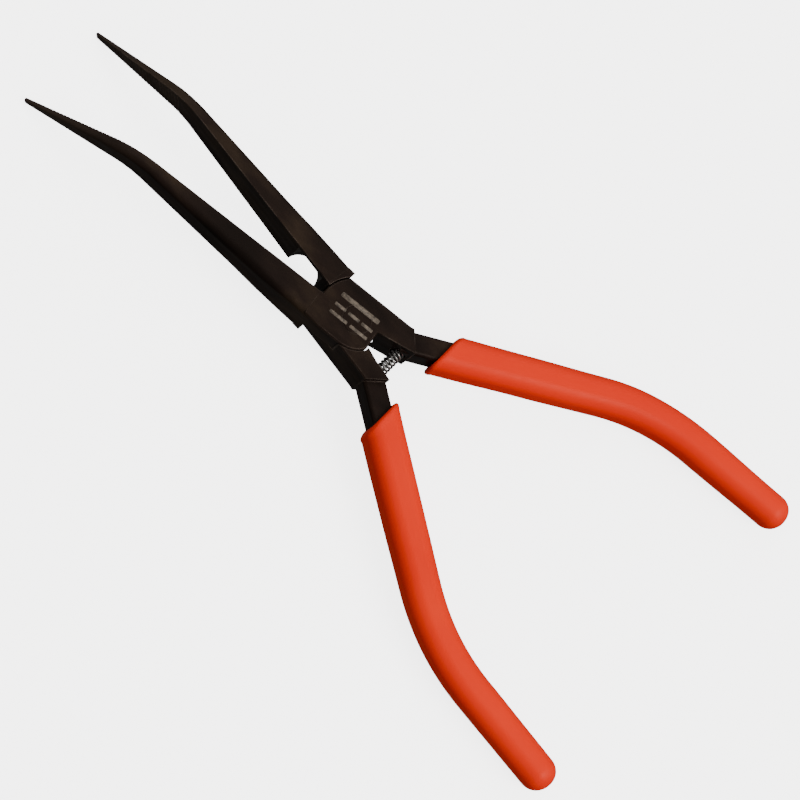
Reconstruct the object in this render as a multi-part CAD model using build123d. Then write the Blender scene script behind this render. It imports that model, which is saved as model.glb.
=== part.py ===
"""Bent needle nose pliers with a lap joint, a return spring and dip-coated grips.

Millimetres and degrees. +X runs from the pivot to the jaw tips, +Y is sideways and
+Z stands out of the marked front face. The origin is on the pivot axis, in the flat
back face of the joint. The halves are drawn closed, about the joint's mid-plane, and
then turned apart to where the return spring holds them.
"""
import os
from math import acos, asin, cos, degrees, radians, sin, sqrt

from build123d import *

# Joint
HALF_OPENING = 7.5          # each half's turn from the centre line at rest
THICKNESS = 8.2             # of the joint, over both plates
HALF_WIDTH = 5.4            # of the joint, from the pivot to its edge
PLATE_GAP = 0.12            # running clearance between the two lapped plates
BOSS_RADIUS = 5.4           # round end of each plate, on the handle side
TAIL = 4.3                  # from the pivot to the flat across that end
TAIL_ROUND = 0.8
NOSE_RADIUS = 7.5           # round end of each plate, on the jaw side
SEAM = 0.15                 # clearance round a plate
SHOULDER = 6.55             # where the full-thickness jaw's outer side starts
WIDEST_OPENING = 17.0       # between the halves, when the plates' tails meet the handle bodies
EDGE_BREAK = 0.25           # small chamfer on the forged edges
CORNER_ROUND = 0.4

# Rivet
RIVET_RADIUS = 1.9
RIVET_HEAD_RADIUS = 2.6
RIVET_HEAD_DEPTH = 0.9
RIVET_CLEARANCE = 0.03      # in the half that turns

# Jaws
FACE_CLEARANCE = 0.05       # from the parting plane to each grip face, closed
BEND_START = 43.6           # straight length before the nose turns down
BEND_RADIUS = 14.0
BEND_ANGLE = 30.0
JAW_LENGTH = 71.2           # along the middle of the jaw, from the pivot
JAW_ROOT = (                # distance along the jaw, width, thickness, outer corner radius
    (SHOULDER - 0.6, 5.10, 8.20, 0.9),
    (10.5, 4.85, 8.05, 1.0),
    (17.0, 4.50, 7.65, 1.4),
    (23.0, 4.00, 7.10, 1.6),
)
JAW_BEND = (2.20, 5.70, 1.0)    # width, thickness, corner radius where the bend starts
JAW_BENT = (1.78, 4.55, 0.8)    # and where it ends
JAW_TIP = (0.55, 1.15, 0.25)
BEND_STEPS = 4
RELIEF_X = 12.7             # round relief bored in from the back, on the parting line
RELIEF_RADIUS = 3.3
RELIEF_WEB = 1.3            # left standing at the front face
TOOTH_PITCH = 0.8
TOOTH_DEPTH = 0.12
TEETH_START = 49.0
TEETH_END = 67.5

# Handles
HANDLE_SLOPE = 25.2         # of the straight part, from the closed centre line
HANDLE_START = (-8.6, 2.92)
STRAIGHT_LENGTH = 38.0
HANDLE_BEND_RADIUS = 44.0
HANDLE_BEND = 27.0
END_LENGTH = 17.4           # straight steel after the bend
CORE_WIDTH = 4.1
CORE_THICKNESS = 5.6
CORE_ROUND = 0.7
BODY_LENGTH = 2.4           # full-thickness body, past the handle's start
BODY_SLANT = 1.0            # how much sooner the body ends at its outer side
BODY_INNER = {              # from the centre line to its inner wall, at the tail and behind it
    1: (0.65, 1.25),
    -1: (1.3, 1.8),
}
BODY_LEDGE = 0.15           # step from the body to the thinner handle, at the sides

# Grips
MOUTH_X = -14.9             # open end of each grip, square to the tool at rest
GRIP_START = (7.2, 8.4, 2.6)    # width, thickness, corner radius at the mouth
GRIP_END = (6.3, 7.3, 2.5)
GRIP_WALL_END = 3.0         # rubber beyond the steel's end
END_ROUND = 2.4
MOUTH_ROUND = 0.4

# Return spring
SPRING_X = -9.3
SPRING_RADIUS = 1.2         # outside
WIRE_RADIUS = 0.21
SPRING_HALF_LENGTH = 5.0
SPRING_TURNS = 14
POCKET_RADIUS = 1.45
POCKET_BOTTOM = 5.15

FAR = 200.0                 # larger than the whole tool


def extruded(outline, low, high):
    """A plan outline as a solid between two heights."""
    return extrude(Pos(0, 0, low) * outline, high - low)


def block(x_low, x_high, y_low, y_high):
    """A rectangle in plan, by its edges."""
    middle = Pos((x_low + x_high) / 2, (y_low + y_high) / 2)
    return middle * Rectangle(x_high - x_low, y_high - y_low)


# ---------------------------------------------------------------------- jaws

def jaw_point(distance):
    """Place and downward slope of the jaw's middle line, at a distance from the pivot."""
    arc_length = BEND_RADIUS * radians(BEND_ANGLE)
    turned = min(max(distance - BEND_START, 0), arc_length)
    angle = turned / BEND_RADIUS
    beyond = max(distance - BEND_START - arc_length, 0)
    x = min(distance, BEND_START) + BEND_RADIUS * sin(angle) + beyond * cos(angle)
    z = -BEND_RADIUS * (1 - cos(angle)) - beyond * sin(angle)
    return x, z, angle


def jaw_section(distance, width, thickness, outer_radius, side):
    """D-shaped section: flat on the grip face, rounded on the outside."""
    x, z, angle = jaw_point(distance)
    plane = Plane(
        origin=(x, side * FACE_CLEARANCE, z),
        x_dir=(0, side, 0),
        z_dir=(cos(angle), 0, -sin(angle)),
    )
    section = Pos(width / 2, 0) * Rectangle(width, thickness)
    section = fillet(section.vertices().group_by(Axis.X)[-1], outer_radius)
    return plane * section


def teeth(side):
    """Fine cross grooves on the bent end of one grip face."""
    count = int((TEETH_END - TEETH_START) / TOOTH_PITCH)
    grooves = []
    for index in range(count):
        x, z, angle = jaw_point(TEETH_START + index * TOOTH_PITCH)
        plane = Plane(
            origin=(x, side * FACE_CLEARANCE, z),
            x_dir=(cos(angle), 0, -sin(angle)),
            z_dir=(sin(angle), 0, cos(angle)),
        )
        groove = Polygon((-TOOTH_DEPTH, 0), (TOOTH_DEPTH, 0), (0, side * TOOTH_DEPTH), align=None)
        grooves.append(extrude(plane * groove, THICKNESS / 2, both=True))
    return grooves


def blended(first, last, share):
    """Values part of the way from one tuple to another."""
    return tuple(a + (b - a) * share for a, b in zip(first, last))


def jaw(side):
    """One bent, tapered jaw; side is +1 for the one on +Y."""
    bend_end = BEND_START + BEND_RADIUS * radians(BEND_ANGLE)
    root = [jaw_section(*station, side) for station in JAW_ROOT]
    root.append(jaw_section(BEND_START, *JAW_BEND, side))
    bend = []
    for step in range(BEND_STEPS + 1):
        share = step / BEND_STEPS
        distance = BEND_START + share * (bend_end - BEND_START)
        bend.append(jaw_section(distance, *blended(JAW_BEND, JAW_BENT, share), side))
    tip = [bend[-1], jaw_section(JAW_LENGTH, *JAW_TIP, side)]
    steel = loft(root, ruled=True) + loft(bend) + loft(tip, ruled=True)
    relief = Pos(RELIEF_X, 0, THICKNESS / 2 - RELIEF_WEB - FAR / 2) * Cylinder(RELIEF_RADIUS, FAR)
    return steel - relief - teeth(side)


# ------------------------------------------------------- joint and handle body

def body_end():
    """Outer and inner end of the handle body's slanted shoulder."""
    slope = radians(HANDLE_SLOPE)
    along = Vector(-cos(slope), -sin(slope))
    across = Vector(sin(slope), -cos(slope))
    middle = Vector(HANDLE_START[0], -HANDLE_START[1]) + along * BODY_LENGTH
    outer = middle + across * (CORE_WIDTH / 2 + BODY_LEDGE) - along * BODY_SLANT
    inner = middle - across * (CORE_WIDTH / 2 + BODY_LEDGE)
    return (outer.X, outer.Y), (inner.X, inner.Y)


def joint_outline(side):
    """Plan of a half's joint, as the front half's: jaw root on +Y and handle body on -Y."""
    plate_corner = sqrt(NOSE_RADIUS**2 - HALF_WIDTH**2)
    nose_angle = degrees(asin(HALF_WIDTH / NOSE_RADIUS))
    tail_angle = degrees(acos(TAIL / BOSS_RADIUS))
    boss_angle = degrees(asin(HALF_WIDTH / BOSS_RADIUS))
    nose = CenterArc((0, 0), NOSE_RADIUS, -nose_angle, nose_angle)
    boss = CenterArc((0, 0), BOSS_RADIUS, 180 - boss_angle, boss_angle - tail_angle)
    jaw_root = Polyline(nose @ 1, (8.0, 0), (8.0, 4.9), (4.6, HALF_WIDTH), boss @ 0)
    outer_end, inner_end = body_end()
    body = Polyline(
        boss @ 1,
        (-TAIL, -BODY_INNER[side][0]),
        (-7.9, -BODY_INNER[side][1]),
        inner_end,
        outer_end,
        (-8.4, -HALF_WIDTH),
        nose @ 0,
    )
    outline = make_face([nose.edge(), *jaw_root.edges(), boss.edge(), *body.edges()])
    corner = outline.vertices().sort_by_distance((plate_corner, -HALF_WIDTH))[0]
    outline = fillet(corner, CORNER_ROUND)
    tail_corner = outline.vertices().sort_by_distance(boss @ 1)[0]
    return fillet(tail_corner, TAIL_ROUND)


def handle_path(start_length=0.0, extra_end=0.0):
    """Middle line of the handle on the -Y side: straight, bent inwards, straight."""
    slope = radians(HANDLE_SLOPE)
    along = Vector(-cos(slope), -sin(slope))
    origin = Vector(HANDLE_START[0], -HANDLE_START[1])
    straight = Line(origin + along * start_length, origin + along * STRAIGHT_LENGTH)
    bend = JernArc(straight @ 1, straight % 1, HANDLE_BEND_RADIUS, -HANDLE_BEND)
    last = Line(bend @ 1, bend @ 1 + (bend % 1) * (END_LENGTH + extra_end))
    return Wire([straight.edge(), bend.edge(), last.edge()])


def swept(path, first, last):
    """A rounded bar along a path, from one (width, thickness, corner radius) to another."""
    sections = []
    for place, (width, thickness, radius) in ((0, first), (1, last)):
        plane = Plane(origin=path @ place, x_dir=(path % place).cross(Vector(0, 0, 1)), z_dir=path % place)
        sections.append(plane * RectangleRounded(width, thickness, radius))
    return sweep(sections, path, multisection=True)


def handle_core():
    """The steel handle, from inside the body to under the grip's end."""
    section = (CORE_WIDTH, CORE_THICKNESS, CORE_ROUND)
    return swept(handle_path(), section, section)


def edges_broken(steel):
    """The joint with a small chamfer along its long outer edges, front and back."""
    faces = steel.faces().filter_by(Axis.Z)
    rims = [edge for edge in faces.edges() if abs(edge.center().Y) > HALF_WIDTH - EDGE_BREAK]
    return chamfer(rims, EDGE_BREAK)


def rivet_shape(extra=0.0):
    """The rivet with both heads flush in their countersinks, or the hole it turns in."""
    top = THICKNESS / 2
    neck = top - RIVET_HEAD_DEPTH
    profile = Polygon(
        (0, -top),
        (RIVET_HEAD_RADIUS + extra, -top),
        (RIVET_RADIUS + extra, -neck),
        (RIVET_RADIUS + extra, neck),
        (RIVET_HEAD_RADIUS + extra, top),
        (0, top),
        align=None,
    )
    return revolve(Plane.XZ * profile, Axis.Z)


def spring_pockets():
    """Blind holes for the spring's two ends, in the inner walls of the handle bodies."""
    return Pos(SPRING_X, 0, 0) * Rot(90, 0, 0) * Cylinder(POCKET_RADIUS, 2 * POCKET_BOTTOM)


def recess():
    """Plan of the room that the other half's plate turns in, for the front half."""
    before_body = Rot(0, 0, -WIDEST_OPENING) * block(-TAIL - SEAM, FAR, -FAR, FAR)
    beside_body = block(-FAR, FAR, 0, FAR)
    round_boss = Circle(BOSS_RADIUS + SEAM) & (before_body + beside_body)
    round_nose = Circle(NOSE_RADIUS + SEAM) & block(0, FAR, -FAR, FAR)
    return round_boss + round_nose + block(0, SHOULDER, -FAR, FAR)


def half(side):
    """One forged half at rest: +1 has the front plate and the +Y jaw, -1 the other two."""
    flip = Rot(0, 0, 0) if side > 0 else Rot(180, 0, 0)
    top = THICKNESS / 2
    joint = edges_broken(extruded(joint_outline(side), -top, top))
    steel = flip * joint + jaw(side)
    steel -= flip * extruded(recess(), -FAR, PLATE_GAP / 2)
    steel += flip * handle_core()
    steel -= rivet_shape(extra=0 if side > 0 else RIVET_CLEARANCE)
    return Rot(0, 0, side * HALF_OPENING) * steel - spring_pockets()


# --------------------------------------------------------- grips and spring

def grip(side):
    """Dip-coated sleeve round one steel handle, at rest."""
    sleeve = swept(handle_path(start_length=2.0, extra_end=GRIP_WALL_END), GRIP_START, GRIP_END)
    sleeve = fillet(sleeve.faces().sort_by(Axis.X)[0].edges(), END_ROUND)
    beyond_mouth = Pos(MOUTH_X - FAR / 2, 0, 0) * Box(FAR, FAR, FAR)
    sleeve = Rot(0, 0, HALF_OPENING) * sleeve & beyond_mouth
    sleeve = fillet(sleeve.faces().sort_by(Axis.X)[-1].edges(), MOUTH_ROUND)
    sleeve -= Rot(0, 0, HALF_OPENING) * handle_core()
    return sleeve if side > 0 else Rot(180, 0, 0) * sleeve


def return_spring():
    """Compression spring between the handle bodies, across the tool."""
    pitch = 2 * SPRING_HALF_LENGTH / SPRING_TURNS
    line = Helix(pitch, 2 * SPRING_HALF_LENGTH, SPRING_RADIUS - WIRE_RADIUS)
    wire = sweep(Plane(line @ 0, z_dir=line % 0) * Circle(WIRE_RADIUS), line, is_frenet=True)
    return Pos(SPRING_X, -SPRING_HALF_LENGTH, 0) * Rot(-90, 0, 0) * wire


parts = {
    "front_half": half(1),
    "rear_half": half(-1),
    "pivot_rivet": rivet_shape(),
    "return_spring": return_spring(),
    "front_half_grip": grip(1),
    "rear_half_grip": grip(-1),
}

os.makedirs("parts", exist_ok=True)
for name, shape in parts.items():
    export_step(Pos(0, 0, THICKNESS / 2) * shape, f"parts/{name}.step")
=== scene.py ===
# Looks of the bent needle nose pliers. Lengths are in metres, or in millimetres where a name
# ends in _MM.

from math import cos, pi, radians, sin

import bmesh
import bpy
from mathutils import Euler, Matrix, Vector, noise


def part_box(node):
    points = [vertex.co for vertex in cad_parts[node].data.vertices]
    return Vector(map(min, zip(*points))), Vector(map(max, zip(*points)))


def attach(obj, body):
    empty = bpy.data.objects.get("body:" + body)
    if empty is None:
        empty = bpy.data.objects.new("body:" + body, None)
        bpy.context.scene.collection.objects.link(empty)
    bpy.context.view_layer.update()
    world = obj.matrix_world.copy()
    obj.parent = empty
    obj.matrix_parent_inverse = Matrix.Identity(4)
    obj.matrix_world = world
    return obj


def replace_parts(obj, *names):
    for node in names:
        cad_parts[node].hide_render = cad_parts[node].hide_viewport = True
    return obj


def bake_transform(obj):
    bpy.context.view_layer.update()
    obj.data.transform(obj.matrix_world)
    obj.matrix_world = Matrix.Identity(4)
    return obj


MM = 0.001

# Camera, from how the tool lies in the view
PIVOT = Vector((0, 0, 4.1 * MM))        # middle of the joint
AXIS_IN_VIEW = radians(135.72)          # the jaws' direction, anticlockwise from right
SIDE_TILT = radians(21.92)              # towards the +Y walls
TIP_TILT = radians(3.71)                # towards the tips
CAMERA_DISTANCE = 0.573
PIVOT_IN_VIEW = (-8.69 * MM, 12.94 * MM)    # from the view's centre
LENS_MM = 148.4

# Handles, as in the CAD, for the one on -Y
HALF_OPENING = radians(7.5)
HANDLE_SLOPE = radians(25.2)
HANDLE_START = (-8.6 * MM, -2.92 * MM)
STRAIGHT_LENGTH = 38.0 * MM
BEND_RADIUS = 44.0 * MM
BEND_LENGTH = radians(27.0) * BEND_RADIUS
STEEL_LENGTH = STRAIGHT_LENGTH + BEND_LENGTH + 17.4 * MM
SLEEVE_START = 2.0 * MM                 # where the sleeve's section starts to taper
GRIP_LENGTH = STEEL_LENGTH + 3.0 * MM
CORE_SECTION_MM = (4.1, 5.6, 0.7)       # width, thickness, corner radius
MOUTH_SECTION_MM = (7.2, 8.4, 2.6)
END_SECTION_MM = (6.3, 7.3, 2.9)

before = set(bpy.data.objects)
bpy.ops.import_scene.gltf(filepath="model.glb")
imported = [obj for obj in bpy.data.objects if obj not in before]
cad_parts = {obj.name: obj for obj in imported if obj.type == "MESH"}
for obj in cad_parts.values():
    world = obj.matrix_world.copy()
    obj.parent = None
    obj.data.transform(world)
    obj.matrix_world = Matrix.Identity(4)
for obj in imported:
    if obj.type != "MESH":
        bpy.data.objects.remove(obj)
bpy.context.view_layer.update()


# ------------------------------------------------------------------- camera

def view_axes():
    """The row frame's axes, as columns, in the camera's own right, up and backward axes."""
    along = Vector((cos(AXIS_IN_VIEW), sin(AXIS_IN_VIEW), 0))
    across = Vector((-sin(AXIS_IN_VIEW), cos(AXIS_IN_VIEW), 0))
    out = Vector((0, 0, 1))
    y_axis = cos(SIDE_TILT) * across + sin(SIDE_TILT) * out
    z_tilted = -sin(SIDE_TILT) * across + cos(SIDE_TILT) * out
    x_axis = cos(TIP_TILT) * along + sin(TIP_TILT) * z_tilted
    z_axis = -sin(TIP_TILT) * along + cos(TIP_TILT) * z_tilted
    return Matrix((x_axis, y_axis, z_axis)).transposed()


FROM_VIEW = view_axes().transposed()    # camera directions to row directions


def make_camera():
    """The camera at the photograph's viewing angle, with no depth of field."""
    data = bpy.data.cameras.new("camera")
    data.lens = LENS_MM
    data.sensor_width = 36
    data.clip_start = 0.01
    data.clip_end = 20
    camera = bpy.data.objects.new("camera", data)
    bpy.context.scene.collection.objects.link(camera)
    offset = Vector((-PIVOT_IN_VIEW[0], -PIVOT_IN_VIEW[1], CAMERA_DISTANCE))
    camera.matrix_world = Matrix.Translation(PIVOT + FROM_VIEW @ offset) @ FROM_VIEW.to_4x4()
    bpy.context.scene.camera = camera


make_camera()


# ----------------------------------------------------------- material helpers

class Shader:
    """A new material's node tree, with short ways to add and join nodes."""

    def __init__(self, name):
        self.material = bpy.data.materials.new(name)
        self.material.use_nodes = True
        self.tree = self.material.node_tree
        self.surface = self.tree.nodes["Principled BSDF"]

    def add(self, kind, inputs=None, **settings):
        node = self.tree.nodes.new("ShaderNode" + kind)
        for key, value in settings.items():
            setattr(node, key, value)
        for key, value in (inputs or {}).items():
            if isinstance(value, bpy.types.NodeSocket):
                self.tree.links.new(value, node.inputs[key])
            else:
                node.inputs[key].default_value = value
        return node

    def join(self, output, name):
        self.tree.links.new(output, self.surface.inputs[name])

    def place(self):
        """Object coordinates, in metres."""
        return self.add("TexCoord").outputs["Object"]

    def noise(self, vector, scale, detail=3.0, roughness=0.5, stretch=None):
        if stretch:
            vector = self.add("Mapping", {"Vector": vector, "Scale": stretch}).outputs[0]
        inputs = {"Vector": vector, "Scale": scale, "Detail": detail, "Roughness": roughness}
        return self.add("TexNoise", inputs).outputs["Fac"]

    def ramp(self, fac, stops):
        node = self.add("ValToRGB", {"Fac": fac})
        elements = node.color_ramp.elements
        while len(elements) < len(stops):
            elements.new(0.5)
        for element, (position, colour) in zip(elements, stops):
            element.position = position
            element.color = (*colour, 1)
        return node.outputs["Color"]

    def spread(self, fac, low, high, start=0.3, end=0.7):
        """Maps a noise value onto low to high."""
        inputs = {"Value": fac, "From Min": start, "From Max": end, "To Min": low, "To Max": high}
        return self.add("MapRange", inputs).outputs["Result"]

    def mix(self, fac, first, second):
        node = self.add("Mix", data_type="RGBA")
        factor, first_colour, second_colour = node.inputs[0], node.inputs[6], node.inputs[7]
        for socket, value in ((factor, fac), (first_colour, first), (second_colour, second)):
            if isinstance(value, bpy.types.NodeSocket):
                self.tree.links.new(value, socket)
            else:
                socket.default_value = (*value, 1)
        return node.outputs[2]

    def bump(self, height, distance, strength, normal=None):
        inputs = {"Height": height, "Distance": distance, "Strength": strength}
        if normal:
            inputs["Normal"] = normal
        return self.add("Bump", inputs).outputs["Normal"]


# ----------------------------------------------------------------- materials

def worn_and_highlit_edges(shader, rounded):
    """1 on edges and 0 on flats, from how far the rounded normal leans from the real one; it marks
    the edges that get wear and a painted highlight.
    """
    flat = shader.add("NewGeometry").outputs["Normal"]
    lean = shader.add("VectorMath", {0: rounded, 1: flat}, operation="DOT_PRODUCT").outputs["Value"]
    return shader.spread(lean, 1.0, 0.0, 0.82, 0.995)


def black_steel(name, edge_wear_and_highlight):
    """Forged steel with a warm black oxide finish, thinner towards the jaws' tips, with edges
    lightened partly by wear and partly as a painted highlight.
    """
    shader = Shader(name)
    place = shader.place()
    cloud = shader.noise(place, 110, 5, 0.6, stretch=(0.45, 1, 1))
    grain = shader.noise(place, 900, 3, 0.6)
    brushed = shader.noise(place, 500, 2, 0.5, stretch=(0.12, 1, 1))
    tint = shader.ramp(cloud, (
        (0.36, (0.0030, 0.0018, 0.0015)),
        (0.50, (0.0088, 0.0050, 0.0038)),
        (0.64, (0.0220, 0.0140, 0.0086)),
    ))
    along = shader.add("SeparateXYZ", {"Vector": place}).outputs["X"]
    tip = shader.spread(along, 0.0, 0.55, 44 * MM, 64 * MM)
    tint = shader.mix(tip, tint, (0.040, 0.029, 0.022))
    rounded = shader.add("Bevel", {"Radius": 0.3 * MM}, samples=6).outputs["Normal"]
    patchy = shader.spread(shader.noise(place, 260, 3, 0.6), 0.1 * edge_wear_and_highlight, edge_wear_and_highlight, 0.40, 0.60)
    edge = worn_and_highlit_edges(shader, rounded)
    wear_and_highlight = shader.add("Math", {0: edge, 1: patchy}, operation="MULTIPLY").outputs[0]
    # Edges get a lighter colour: partly real rubbed wear, partly a painted highlight along the
    # ridges.
    shader.join(shader.mix(wear_and_highlight, tint, (0.105, 0.080, 0.066)), "Base Color")
    shader.join(shader.spread(brushed, 0.36, 0.52), "Roughness")
    shader.surface.inputs["Specular IOR Level"].default_value = 0.12
    shader.surface.inputs["Specular Tint"].default_value = (1.0, 0.76, 0.66, 1)
    fine = shader.bump(grain, 0.014 * MM, 0.6, rounded)
    shader.join(shader.bump(brushed, 0.014 * MM, 0.6, fine), "Normal")
    return shader.material


def dip_coating():
    """Orange dipped vinyl with a faint orange peel."""
    shader = Shader("dip_coating")
    place = shader.place()
    cloud = shader.noise(place, 60, 3, 0.5)
    peel = shader.noise(place, 550, 2, 0.4)
    swell = shader.noise(place, 120, 2, 0.4)
    tint = shader.ramp(cloud, ((0.30, (0.790, 0.019, 0.0006)), (0.70, (0.850, 0.026, 0.0010))))
    shader.join(tint, "Base Color")
    shader.join(shader.spread(peel, 0.40, 0.50), "Roughness")
    shader.surface.inputs["Specular IOR Level"].default_value = 0.19
    shader.surface.inputs["Specular Tint"].default_value = (1.0, 0.75, 0.60, 1)
    shader.surface.inputs["Subsurface Weight"].default_value = 0.06
    shader.surface.inputs["Subsurface Radius"].default_value = (1.2 * MM, 0.35 * MM, 0.1 * MM)
    shader.surface.inputs["Subsurface Scale"].default_value = 1.0
    broad = shader.bump(swell, 0.05 * MM, 0.6)
    shader.join(shader.bump(peel, 0.012 * MM, 0.6, broad), "Normal")
    return shader.material


def spring_wire():
    """Bright drawn wire, slightly oiled."""
    shader = Shader("spring_wire")
    place = shader.place()
    stain = shader.noise(place, 700, 3, 0.6)
    tint = shader.ramp(stain, ((0.35, (0.10, 0.098, 0.094)), (0.65, (0.40, 0.395, 0.38))))
    shader.join(tint, "Base Color")
    shader.join(shader.spread(stain, 0.24, 0.40), "Roughness")
    shader.surface.inputs["Metallic"].default_value = 1.0
    shader.join(shader.bump(stain, 0.004 * MM, 0.4), "Normal")
    return shader.material


def etched_mark():
    """Laser mark: a thin frosted tan film, uneven like the real burn."""
    shader = Shader("etched_mark")
    place = shader.place()
    patches = shader.noise(place, 1500, 3, 0.6)
    tint = shader.ramp(patches, ((0.34, (0.040, 0.030, 0.022)), (0.64, (0.165, 0.130, 0.098))))
    shader.join(tint, "Base Color")
    shader.join(shader.spread(patches, 0.55, 0.75), "Roughness")
    shader.join(shader.bump(patches, 0.006 * MM, 0.5), "Normal")
    return shader.material


def pale_floor():
    """Plain studio floor with a faint glow, so that it stays nearly white."""
    shader = Shader("pale_floor")
    cloud = shader.noise(shader.place(), 3, 2)
    tint = shader.ramp(cloud, ((0.3, (0.90, 0.90, 0.895)), (0.7, (0.92, 0.92, 0.915))))
    shader.join(tint, "Base Color")
    shader.surface.inputs["Roughness"].default_value = 0.8
    shader.surface.inputs["Specular IOR Level"].default_value = 0.2
    shader.surface.inputs["Emission Color"].default_value = (1, 1, 1, 1)
    shader.surface.inputs["Emission Strength"].default_value = 4.0
    return shader.material


# --------------------------------------------------------------- mesh helpers

def mesh_object(name, vertices, faces, material):
    """A smooth-shaded object from a mesh, with its faces turned the same way."""
    data = bpy.data.meshes.new(name)
    data.from_pydata(vertices, [], faces)
    shell = bmesh.new()
    shell.from_mesh(data)
    bmesh.ops.recalc_face_normals(shell, faces=shell.faces)
    shell.to_mesh(data)
    shell.free()
    data.materials.append(material)
    data.shade_smooth()
    piece = bpy.data.objects.new(name, data)
    bpy.context.scene.collection.objects.link(piece)
    return piece


def skin(rings):
    """Vertices and faces of a closed skin over equal rings, capped at both ends."""
    count = len(rings[0])
    vertices = [point for ring in rings for point in ring]
    faces = []
    for row in range(len(rings) - 1):
        for i in range(count):
            j = (i + 1) % count
            start, end = row * count, (row + 1) * count
            faces.append((start + i, end + i, end + j, start + j))
    faces.append(tuple(range(count)))
    faces.append(tuple(reversed(range(len(vertices) - count, len(vertices)))))
    return vertices, faces


# --------------------------------------------------------------------- grips

AROUND = 72                     # points round a grip
MOUTH_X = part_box("front_half_grip")[1].x
LIP_RADIUS = 0.9 * MM
LIP_STEPS = 9
RUBBER_INSIDE_MM = 0.06         # how much smaller the sleeve's bore is than the steel
BORE_STEPS = 12
BORE_END = 0.3 * MM             # where the bore's last ring is, from the mouth
MOUTH_SHARES = (0.93, 0.80, 0.62)   # rings across the mouth's face, from the steel outwards
MOUTH_DISH = 0.12 * MM
BODY_START = 1.4 * MM           # from the mouth
BODY_STEPS = 70
DOME_LENGTH = 3.1 * MM
DOME_STEPS = 16
DOME_CLOSE = 0.985              # how far the last ring is round the dome
DOME_FULLNESS = 0.9             # below 1, the dome stays wide for longer
UNEVENNESS = 0.09 * MM          # scale of the dips in the surface
SLANT_END = 14.0 * MM           # where the rings are square to the handle again
CROWN = 0.018                   # how much the flats bulge, as a share


def handle_line(distance):
    """Point and heading of the -Y handle's middle line at rest."""
    heading = pi + HANDLE_SLOPE + HALF_OPENING
    turned = min(max(distance - STRAIGHT_LENGTH, 0), BEND_LENGTH)
    start = Vector((*HANDLE_START, 0))
    start.rotate(Euler((0, 0, HALF_OPENING)))
    x, y, _ = start
    x += min(distance, STRAIGHT_LENGTH) * cos(heading)
    y += min(distance, STRAIGHT_LENGTH) * sin(heading)
    after = heading - turned / BEND_RADIUS
    x += BEND_RADIUS * (sin(heading) - sin(after))
    y += BEND_RADIUS * (cos(after) - cos(heading))
    beyond = max(distance - STRAIGHT_LENGTH - BEND_LENGTH, 0)
    return x + beyond * cos(after), y + beyond * sin(after), after


def rounded_section(width, thickness, radius, crown):
    """Points of a rounded rectangle in metres, from its size in millimetres, with crowned flats."""
    flat_u, flat_v = width / 2 - radius, thickness / 2 - radius
    points = []
    for index in range(AROUND):
        quarter, step = divmod(index, AROUND // 4)
        angle = (quarter + step / (AROUND // 4 - 1)) * pi / 2
        sign_u = 1 if quarter in (0, 3) else -1
        sign_v = 1 if quarter in (0, 1) else -1
        u = sign_u * flat_u + radius * cos(angle)
        v = sign_v * flat_v + radius * sin(angle)
        bulge_u = 1 - crown * (2 * v / thickness) ** 2
        bulge_v = 1 - crown * (2 * u / width) ** 2
        points.append((u * bulge_u * MM, v * bulge_v * MM))
    return points


def between(first, last, share):
    return tuple(a + (b - a) * share for a, b in zip(first, last))


def mouth_distance():
    """How far along the middle line the grip's mouth is."""
    x, _, heading = handle_line(0)
    return (MOUTH_X - x) / cos(heading)


def grip_ring(distance, section, side, crown=CROWN, lift=0.0):
    """One ring of a grip; near the mouth it slants until it is square to the tool."""
    x, y, heading = handle_line(distance)
    along = Vector((cos(heading), sin(heading), 0))
    across = Vector((-sin(heading), cos(heading), 0))
    mouth = mouth_distance()
    fade = min(max((SLANT_END - (distance - mouth)) / SLANT_END, 0), 1)
    slant = -across.x / along.x * fade
    ring = []
    for u, v in rounded_section(*section, crown):
        point = Vector((x, y, 0)) + across * u + along * (u * slant) + Vector((0, 0, v))
        if lift:
            seed = point * 90 + Vector((0, 0, side * 7))
            outward = (across * u + Vector((0, 0, v))).normalized()
            point += outward * (lift * (noise.noise(seed) - 1.0))
        ring.append(point)
    return ring


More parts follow.
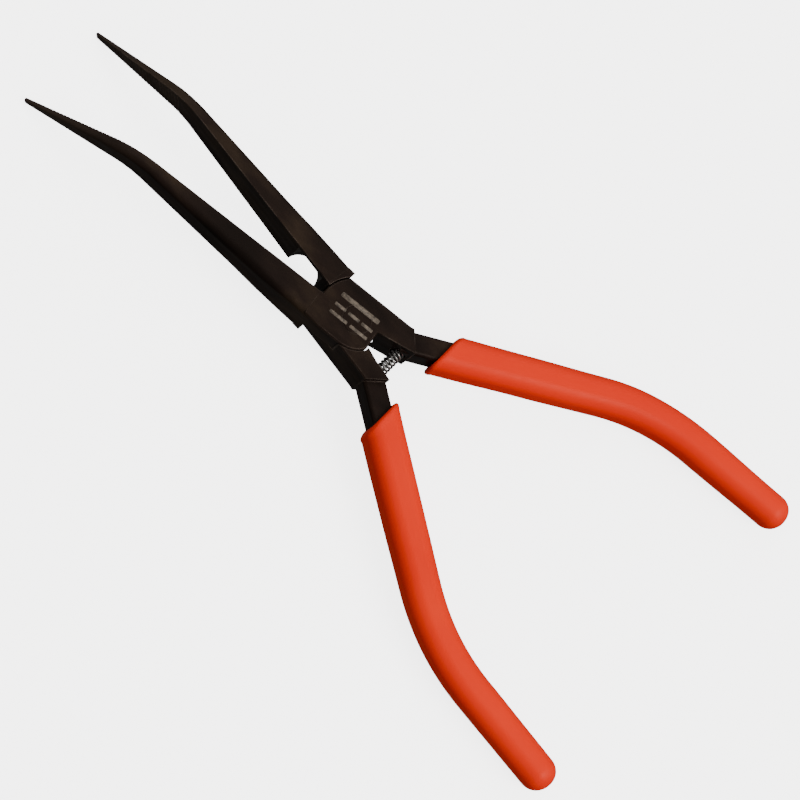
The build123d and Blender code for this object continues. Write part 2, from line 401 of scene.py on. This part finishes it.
def make_grip(name, side, body, material):
    """A dipped sleeve: side is 1 for the one on -Y and -1 for the one on +Y."""
    mouth = mouth_distance()
    wall = (MOUTH_SECTION_MM[0] - CORE_SECTION_MM[0]) / 2 * MM
    core = tuple(value - RUBBER_INSIDE_MM for value in CORE_SECTION_MM)

    def outer(distance):
        share = (distance - SLEEVE_START) / (GRIP_LENGTH - SLEEVE_START)
        return between(MOUTH_SECTION_MM, END_SECTION_MM, share)

    rings = []
    for step in range(BORE_STEPS):
        distance = STEEL_LENGTH + (mouth + BORE_END - STEEL_LENGTH) * step / (BORE_STEPS - 1)
        rings.append(grip_ring(distance, core, side, 0))
    for share in MOUTH_SHARES:
        section = between(outer(mouth), core, share)
        distance = mouth + MOUTH_DISH * (share - 0.5)
        rings.append(grip_ring(distance, section, side, CROWN * (1 - share)))
    for step in range(LIP_STEPS):
        angle = pi / 2 * (1 - step / (LIP_STEPS - 1))
        section = between(outer(mouth), core, LIP_RADIUS * (1 - cos(angle)) / wall)
        rings.append(grip_ring(mouth + LIP_RADIUS * (1 - sin(angle)), section, side))
    body_start, body_end = mouth + BODY_START, GRIP_LENGTH - DOME_LENGTH
    for step in range(BODY_STEPS):
        distance = body_start + (body_end - body_start) * step / (BODY_STEPS - 1)
        rings.append(grip_ring(distance, outer(distance), side, lift=UNEVENNESS))
    for step in range(1, DOME_STEPS + 1):
        angle = pi / 2 * min(step / DOME_STEPS, DOME_CLOSE)
        distance = body_end + DOME_LENGTH * sin(angle)
        width, thickness, radius = outer(distance)
        scale = cos(angle) ** DOME_FULLNESS
        section = (width * scale, thickness * scale, radius * scale)
        rings.append(grip_ring(distance, section, side, lift=UNEVENNESS * scale))
    if side < 0:
        rings = [[Vector((p.x, -p.y, p.z)) for p in reversed(ring)] for ring in rings]
    rings = [[p + PIVOT for p in ring] for ring in rings]
    piece = mesh_object(name, *skin(rings), material)
    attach(piece, body)
    return piece


# -------------------------------------------------------------------- spring

WIRE_RADIUS = 0.21 * MM
SPRING_TURNS = 15.0
CLOSED_TURNS = 1.25             # tight turns at each end
RINGS_PER_TURN = 36
POINTS_ROUND_WIRE = 12


def make_spring(material):
    """A coil spring with closed ends."""
    low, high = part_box("return_spring")
    centre = (low + high) / 2
    wire_radius = WIRE_RADIUS
    coil_radius = (high.x - low.x) / 2 - wire_radius
    half_length = (high.y - low.y) / 2 - wire_radius
    turns, closed_turns = SPRING_TURNS, CLOSED_TURNS
    steps = int(turns * RINGS_PER_TURN)
    pitch = (2 * half_length - 4 * closed_turns * wire_radius) / (turns - 2 * closed_turns)

    def height(turn):
        """Distance along the coil: tight in the closed end turns, even between them."""
        tight = min(turn, closed_turns) + max(turn - (turns - closed_turns), 0)
        return tight * 2 * wire_radius + (turn - tight) * pitch - half_length

    rings = []
    for step in range(steps + 1):
        turn = turns * step / steps
        angle = 2 * pi * turn
        radial = Vector((cos(angle), 0, sin(angle)))
        middle = centre + radial * coil_radius + Vector((0, height(turn), 0))
        ring = []
        for index in range(POINTS_ROUND_WIRE):
            around_wire = 2 * pi * index / POINTS_ROUND_WIRE
            outward = cos(around_wire) * radial + Vector((0, sin(around_wire), 0))
            ring.append(middle + wire_radius * outward)
        rings.append(ring)
    piece = mesh_object("coil_spring", *skin(rings), material)
    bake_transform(piece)
    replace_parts(piece, "return_spring")
    return piece


# --------------------------------------------------------------- etched marks

MARK_HEIGHT = 0.015 * MM
# regular rows of plain bars on the front plate, in millimetres along and across the front half's
# own axis: across, bar height, and each bar's (start, end)
MARK_ROWS_MM = (
    (-2.1, 0.9, ((4.8, -3.4),)),
    (0.0, 0.6, ((4.8, 2.4), (1.9, -0.5), (-1.0, -3.4))),
    (1.7, 0.6, ((4.8, 1.0), (0.4, -3.4))),
)


def bar_outline(start, end, across, height):
    """A bar with rounded corners, anticlockwise, in millimetres."""
    low, high = min(start, end), max(start, end)
    radius = min(height, high - low) * 0.3
    points = []
    corners = ((high, across + height / 2, 0), (low, across + height / 2, 1),
               (low, across - height / 2, 2), (high, across - height / 2, 3))
    for x, y, quarter in corners:
        inward_x = -radius if quarter in (0, 3) else radius
        inward_y = -radius if quarter in (0, 1) else radius
        for step in range(5):
            angle = (quarter + step / 4) * pi / 2
            points.append((x + inward_x + radius * cos(angle), y + inward_y + radius * sin(angle)))
    return points


def make_marks(material):
    """Thin plain bars in place of any marking."""
    face_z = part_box("pivot_rivet")[1].z
    vertices, faces = [], []
    for across, height, bars in MARK_ROWS_MM:
        for start, end in bars:
            outline = bar_outline(start, end, across, height)
            rings = []
            for z in (face_z - MARK_HEIGHT, face_z + MARK_HEIGHT):
                ring = []
                for x, y in outline:
                    point = Vector((x * MM, y * MM, z))
                    point.rotate(Euler((0, 0, HALF_OPENING)))
                    ring.append(point)
                rings.append(ring)
            bar_vertices, bar_faces = skin(rings)
            first = len(vertices)
            vertices += bar_vertices
            faces += [tuple(first + i for i in reversed(face)) for face in bar_faces]
    piece = mesh_object("etched_bars", vertices, faces, material)
    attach(piece, "front_body")
    return piece


# ------------------------------------------------------------ floor and light

FLOOR_SIZE = 3.0                # from the pivot to each side
FLOOR_REACH = 20 * MM           # behind the grips' mouths, where the floor may touch them
FLOOR_GAP = 0.02 * MM


def make_floor(material):
    """A floor that the jaw tips and the grips' ends rest on."""
    points = [vertex.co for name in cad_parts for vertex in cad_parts[name].data.vertices]
    tip = min(points, key=lambda point: point.z)
    behind = [point for point in points if point.x < MOUTH_X - FLOOR_REACH]
    slope = max((point.z - tip.z) / (point.x - tip.x) for point in behind)
    size = FLOOR_SIZE
    corners = []
    for x, y in ((size, size), (-size, size), (-size, -size), (size, -size)):
        corners.append((x, y, tip.z + slope * (x - tip.x) - FLOOR_GAP))
    floor = mesh_object("floor", corners, [(0, 1, 2, 3)], material)
    floor.visible_diffuse = False
    floor.visible_glossy = False


def soft_sun(name, toward, strength, spread, colour=(1, 1, 1)):
    """A broad even light, placed by its direction in the view: right, up and towards the camera."""
    data = bpy.data.lights.new(name, "SUN")
    data.angle = radians(spread)
    data.energy = strength
    data.color = colour
    light = bpy.data.objects.new(name, data)
    bpy.context.scene.collection.objects.link(light)
    direction = (FROM_VIEW @ Vector(toward)).normalized()
    light.matrix_world = direction.to_track_quat("Z", "Y").to_matrix().to_4x4()


def make_light():
    """A dome that is dark below the horizon, a key from the right and a weak fill from above."""
    world = bpy.data.worlds.new("studio")
    world.use_nodes = True
    nodes, links = world.node_tree.nodes, world.node_tree.links
    direction = nodes.new("ShaderNodeTexCoord")
    split = nodes.new("ShaderNodeSeparateXYZ")
    ramp = nodes.new("ShaderNodeMapRange")
    ramp.inputs["From Min"].default_value = -0.25
    ramp.inputs["From Max"].default_value = 0.35
    ramp.inputs["To Min"].default_value = 0.10
    ramp.inputs["To Max"].default_value = 0.55
    links.new(direction.outputs["Generated"], split.inputs[0])
    links.new(split.outputs["Z"], ramp.inputs["Value"])
    links.new(ramp.outputs["Result"], nodes["Background"].inputs["Strength"])
    nodes["Background"].inputs["Color"].default_value = (1.0, 0.98, 0.95, 1)
    bpy.context.scene.world = world
    soft_sun("key", (0.95, -0.35, 1.0), 2.5, 35, (1.0, 0.98, 0.95))
    soft_sun("fill", (0.3, 0.9, 0.6), 0.7, 50)


# ------------------------------------------------------------------ the scene

steel = black_steel("black_steel", edge_wear_and_highlight=1.0)
rivet_steel = black_steel("rivet_steel", edge_wear_and_highlight=0.0)
for name, material in (("front_half", steel), ("rear_half", steel), ("pivot_rivet", rivet_steel)):
    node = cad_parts[name]
    for index in range(len(node.material_slots)):
        node.material_slots[index].material = material
vinyl = dip_coating()
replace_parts(make_grip("front_grip_sleeve", 1, "front_body", vinyl), "front_half_grip")
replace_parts(make_grip("rear_grip_sleeve", -1, "rear_body", vinyl), "rear_half_grip")
make_spring(spring_wire())
make_marks(etched_mark())
make_floor(pale_floor())
make_light()
